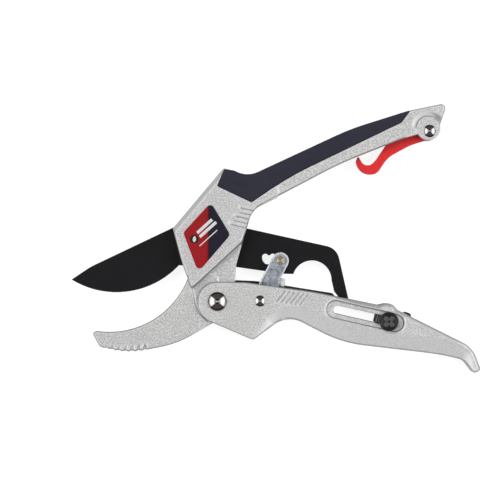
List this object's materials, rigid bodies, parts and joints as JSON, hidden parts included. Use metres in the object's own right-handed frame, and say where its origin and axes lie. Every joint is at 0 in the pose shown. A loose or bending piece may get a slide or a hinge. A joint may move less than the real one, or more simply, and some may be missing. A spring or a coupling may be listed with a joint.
{
  "type": "pruning shears",
  "caption": "Ratchet pruning shears with a curved bypass blade, a hook jaw, an open spring handle, a step selector slide and a swinging catch.",
  "frame": {"origin": "middle of the tool's outline, on the flat it lies on", "axes": "+X from the blade tip towards the handle ends, +Y from the lower handle towards the upper handle, +Z out of the front face"},
  "size_m": [0.2038, 0.1336, 0.0208],
  "materials": {
    "silver_casting": "die casting under silver paint with a fine speckle, satin",
    "soft_grip": "soft-touch dark navy, matte",
    "label": "two-colour sticker, red and navy, satin",
    "black_steel": "black non-stick coating, satin, with a ground edge",
    "bronze": "plain turned",
    "bright_steel": "nickel plated, polished",
    "zinc_steel": "bright zinc plated, satin",
    "spring_steel": "drawn wire, oiled",
    "white_plastic": "plain",
    "dark_plastic": "plain",
    "black_plastic": "satin",
    "red_plastic": "glossy moulded",
    "black_rubber": "matte"
  },
  "bodies": {
    "upper_body": {"upper_handle": "silver_casting", "upper_grip": "soft_grip", "label": "label", "blade_bolt": "bright_steel", "blade_bush": "bronze", "catch_rivet": "bright_steel", "catch_washers": "zinc_steel"},
    "blade": {"blade": "black_steel"},
    "lower_handle": {"lower_handle": "silver_casting", "main_bolt": "bright_steel", "main_nut": "bright_steel", "pivot_washers": "white_plastic", "handle_spring": "spring_steel", "link_rivet": "bright_steel", "link_spacers": "dark_plastic", "link_spring": "spring_steel", "catch_bar": "bright_steel", "bumper": "black_rubber"},
    "link": {"ratchet_link": "zinc_steel", "link_pin": "bright_steel"},
    "selector": {"selector_shuttle": "dark_plastic", "selector_knob": "black_plastic", "selector_cap": "black_plastic"},
    "catch": {"catch_lever": "red_plastic"}
  },
  "joints": [
    {"name": "handle_pivot", "type": "hinge", "parent": "upper_body", "child": "lower_handle", "pos_m": [-0.02888, -0.0313, 0.009], "axis": [0, 0, 1], "range_deg": [0, 36.4], "stiffness_Nm_per_rad": 0.6, "springref_deg": -20.05, "deforming": ["handle_spring"]},
    {"name": "blade_pivot", "type": "hinge", "parent": "upper_body", "child": "blade", "pos_m": [-0.03062, -0.0008, 0.009], "axis": [0, 0, 1], "range_deg": [0, 25.1]},
    {"name": "link_pivot", "type": "hinge", "parent": "lower_handle", "child": "link", "pos_m": [-0.00768, -0.0311, 0.009], "axis": [0, 0, 1], "range_deg": [-30.6, 0], "deforming": ["link_spring"]},
    {"name": "selector_slide", "type": "slide", "parent": "lower_handle", "child": "selector", "axis": [-0.9751, 0.2215, 0], "range_m": [0, 0.019]},
    {"name": "catch_pivot", "type": "hinge", "parent": "upper_body", "child": "catch", "pos_m": [0.07662, 0.05335, 0.009], "axis": [0, 0, 1], "range_deg": [0, 48]}
  ],
  "couplings": [
    {"joint": "blade_pivot", "follows": "handle_pivot", "ratio": 0.6868},
    {"joint": "link_pivot", "follows": "handle_pivot", "ratio": -0.8379}
  ]
}
